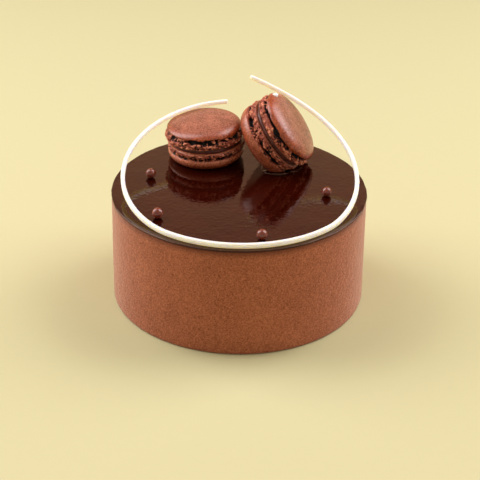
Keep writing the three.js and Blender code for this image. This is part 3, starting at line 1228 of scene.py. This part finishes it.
@dataclass
class Dabs:
    """Small marks of the dressing: a dab of white chocolate and a collar of pushed up glaze."""

    dab_radius: float = 1.95
    dab_along: float = 9.1
    dab_from: float = 20.4
    dab_around: float = 161.0
    dab_lumps: float = 0.42
    dab_squash: float = 0.75
    line_band: float = 0.5
    line_cosine: float = 0.995
    line_soften: int = 6
    collar_steps: int = 180
    collar_columns: int = 20
    collar_out: float = 0.8
    collar_half: float = 1.9
    half_share: float = 0.9
    half_waves: Waves = Waves(0.35, 5.0, 1)
    collar_height: float = 1.3
    height_share: float = 0.7
    height_waves: Waves = Waves(0.9, 4.5)
    least_height: float = 0.15
    hidden_share: float = 0.12
    front_ramp: Pair = (0.3, 0.7)
    right_ramp: Pair = (0.35, 0.75)
    seed: int = 91

    def waterline(self, macaron: Macaron) -> Array:
        """Finds where a macaron's skin meets the glaze.

        Args:
            macaron: The macaron that is pressed into the glaze.

        Returns:
            Level points round the meeting line.
        """
        band = macaron.placed_shell(macaron.lower)[0].reshape(-1, 3)
        band = band[np.abs(band[:, 2] - GLAZE_TOP) < self.line_band][:, :2]
        middle = (band.min(axis=0) + band.max(axis=0)) / 2
        ways = np.stack(circle(self.collar_steps), axis=1)
        away = band - middle
        length = np.linalg.norm(away, axis=1, keepdims=True)
        reach = np.where(away @ ways.T / length > self.line_cosine, length, 0.0).max(axis=0)
        steps, held = np.arange(self.collar_steps), np.flatnonzero(reach)
        reach = np.interp(steps, held, reach[held], period=self.collar_steps)
        soften = self.line_soften
        window = np.hanning(2 * soften + 3)[1:-1]
        padded = np.concatenate([reach[-soften:], reach, reach[:soften]])
        reach = np.convolve(padded, window / window.sum(), mode="valid")
        return middle + ways * reach[:, None]

    def collar_rings(self, line: Array) -> Array:
        """Swells the glaze along a meeting line, most at the front and least on the right.

        Args:
            line: Level points round the meeting line.

        Returns:
            The collar's sections.
        """
        noise = Unevenness(self.seed + 1)
        ahead = np.roll(line, -1, axis=0) - np.roll(line, 1, axis=0)
        away = np.stack([ahead[:, 1], -ahead[:, 0], np.zeros(len(line))], axis=1)
        away /= np.linalg.norm(away, axis=1, keepdims=True)
        foot = np.pad(line, ((0, 0), (0, 1)), constant_values=GLAZE_TOP) + away * self.collar_out
        facing = ramp(-away[:, 1], *self.front_ramp) * (1 - ramp(away[:, 0], *self.right_ramp))
        tall = self.height_share + noise.layers(foot, self.height_waves)
        tall = self.collar_height * np.maximum(tall, self.least_height)
        tall = tall * (self.hidden_share + (1 - self.hidden_share) * facing)
        wide = self.half_share + noise.layers(foot, self.half_waves)
        cosine, sine = circle(self.collar_columns)
        across = (self.collar_half * wide)[:, None] * cosine
        rings = foot[:, None] + away[:, None] * across[..., None]
        return rings + UP * (tall[:, None] * sine)[..., None]

    def build(self, macaron: Macaron) -> None:
        """Builds both marks against the leaning macaron.

        Args:
            macaron: The macaron that carries the dab and presses into the glaze.
        """
        turn = math.radians(self.dab_around)
        along = self.dab_along + macaron.filling / 2
        spot = np.array([self.dab_from * math.cos(turn), self.dab_from * math.sin(turn), along])
        middle = macaron.set_down(spot)
        dab = LumpyBall("white_dab", middle, self.dab_radius, self.dab_lumps, self.seed, self.dab_squash)
        place(dab.build(), WhiteChocolate(), Slot.WHITE)
        collar = closed_skin("glaze_collar", self.collar_rings(self.waterline(macaron)), looped=True)
        place(collar, MirrorGlaze(), Slot.GLAZE)


@dataclass(frozen=True)
class Softbox:
    """A soft light that faces the cake: where it hangs, its size and how bright its face is."""

    name: str
    place: Triple
    size: Pair
    glow: float
    tint: Triple = (1.0, 0.97, 1.0)
    aim: Triple = (0.0, 0.0, 50.0)

    def hang(self) -> None:
        """Hangs the light."""
        lamp = bpy.data.lights.new(self.name, "AREA")
        lamp.shape = "RECTANGLE"
        lamp.size, lamp.size_y = self.size[0] * MM, self.size[1] * MM
        lamp.energy = self.glow * math.pi * lamp.size * lamp.size_y
        lamp.color = self.tint
        holder = bpy.data.objects.new(self.name, lamp)
        holder.location = Vector(self.place) * MM
        towards = (Vector(self.aim) - Vector(self.place)).normalized()
        holder.rotation_euler = towards.to_track_quat("-Z", "Y").to_euler()
        holder.visible_camera = False
        bpy.context.scene.collection.objects.link(holder)


@dataclass
class Studio:
    """The pale floor, the soft lights and the camera."""

    floor_reach: float = 6000.0
    camera_place: Triple = (-1.665, -838.2, 498.9)
    camera_yaw: float = 0.176
    camera_pitch: float = 29.064
    camera_roll: float = 0.807
    camera_clip: Pair = (0.01, 50.0)
    lens: float = 120.0
    sensor: float = 36.0
    low_sky: tuple = (0.83, 0.49, 0.29, 1.0)
    high_sky: tuple = (0.41, 0.21, 0.15, 1.0)
    front_sky: tuple = (0.46, 0.41, 0.34, 1.0)
    sky_change: Pair = (24.0, 33.0)
    front_change: Pair = (-0.35, 0.35)
    softboxes: tuple[Softbox, ...] = (
        Softbox("left_top_softbox", (-430, 330, 1180), (520, 500), 2.6),
        Softbox("right_top_softbox", (430, 330, 1180), (520, 500), 2.6),
        Softbox("left_softbox", (-930, 300, 780), (900, 1050), 4.55),
        Softbox("right_softbox", (900, 340, 840), (900, 1050), 4.2),
    )

    def build_floor(self) -> None:
        """Lays the floor."""
        corners = np.array([(-1, -1, 0), (1, -1, 0), (1, 1, 0), (-1, 1, 0)]) * self.floor_reach
        floor = new_piece("floor", corners, [(0, 1, 2, 3)])
        floor.data.materials.append(FloorPaper().material())

    def build_sky(self) -> None:
        """Makes the soft room light, paler low down than high up."""
        world = bpy.data.worlds.new("studio")
        world.use_nodes = True
        recipe = Recipe(world.node_tree)
        direction = recipe.node("ShaderNodeTexCoord", "Generated")
        low, high = (math.sin(math.radians(angle)) for angle in self.sky_change)
        rise = recipe.ease(recipe.part("Z", direction), low, high)
        colour = recipe.blend(rise, self.low_sky, self.high_sky)
        depth = recipe.ease(recipe.part("Y", direction), *self.front_change)
        colour = recipe.blend(depth, self.front_sky, colour)
        light = recipe.node("ShaderNodeBackground", 0, None, {"Color": colour, "Strength": 1.0})
        recipe.node("ShaderNodeOutputWorld", sockets={"Surface": light})
        bpy.context.scene.world = world

    def build_camera(self) -> None:
        """Stands the camera where the picture is taken from."""
        angles = (self.camera_yaw, self.camera_pitch, self.camera_roll)
        yaw, pitch, roll = (math.radians(angle) for angle in angles)
        turn = Matrix.Rotation(-yaw, 4, "Z") @ Matrix.Rotation(math.pi / 2 - pitch, 4, "X")
        turn = turn @ Matrix.Rotation(roll, 4, "Z")
        lens = bpy.data.cameras.new("camera")
        lens.lens = self.lens
        lens.sensor_width = self.sensor
        lens.clip_start, lens.clip_end = self.camera_clip
        camera = bpy.data.objects.new("camera", lens)
        camera.matrix_world = Matrix.Translation(Vector(self.camera_place) * MM) @ turn
        bpy.context.scene.collection.objects.link(camera)
        bpy.context.scene.camera = camera

    def build(self) -> None:
        """Builds the floor, the light and the camera."""
        self.build_floor()
        self.build_sky()
        for softbox in self.softboxes:
            softbox.hang()
        self.build_camera()
        bpy.context.scene.view_settings.view_transform = "Standard"


FLAT_MACARON = Macaron(
    name="macaron_flat", radius=23.4, filling=2.4, centre=(-20.6, 44.2, 12.4),
    axis_tilt=1.9, axis_heading=184.0, seed=11,
    upper=ShellForm(
        "top_shell", seed=12, foot=3.2, gashes=2.9, crown=4.7, edge=3.7, inset=0.8, raggedness=0.9,
        bridging=0.38, gape=0.68, fullness=0.34, tan=1.0, slide=(-0.7, 0.4), slant=3.3,
    ),
    lower=ShellForm(
        "bottom_shell", seed=13, foot=2.1, gashes=2.1, crown=8.5, edge=8.0, inset=0.2, raggedness=0.6,
        bridging=0.36, gape=0.75, fullness=0.36, tan=0.9, frill=0.7, painted_bounce=0.8, lip_round=1.3, facing=-1,
    ),
)
LEANING_MACARON = Macaron(
    name="macaron_leaning", radius=23.4, filling=2.4, centre=(24.0, 37.4, 19.3),
    axis_tilt=53.4, axis_heading=-7.7, seed=29,
    upper=ShellForm(
        "outer_shell", seed=30, foot=3.4, gashes=2.4, crown=6.0, edge=4.2, inset=0.6, raggedness=1.0,
        bridging=0.3, gape=0.9, fullness=0.26, tan=1.0,
    ),
    lower=ShellForm(
        "inner_shell", seed=31, foot=3.4, gashes=2.4, crown=9.6, edge=8.8, inset=0.3, raggedness=0.9,
        bridging=0.22, gape=0.95, fullness=0.28, tan=0.8, frill=1.0, painted_bounce=0.3, lip_round=0.6, facing=-1,
    ),
)


def main() -> None:
    """Builds the cake from the bottom up, then the studio round it."""
    logging.basicConfig(level=logging.INFO, format="%(message)s")
    Cake().build()
    WhiteRing().build()
    FLAT_MACARON.build()
    LEANING_MACARON.build()
    Pearls().build()
    Dabs().build(LEANING_MACARON)
    Studio().build()


if __name__ == "__main__":
    main()
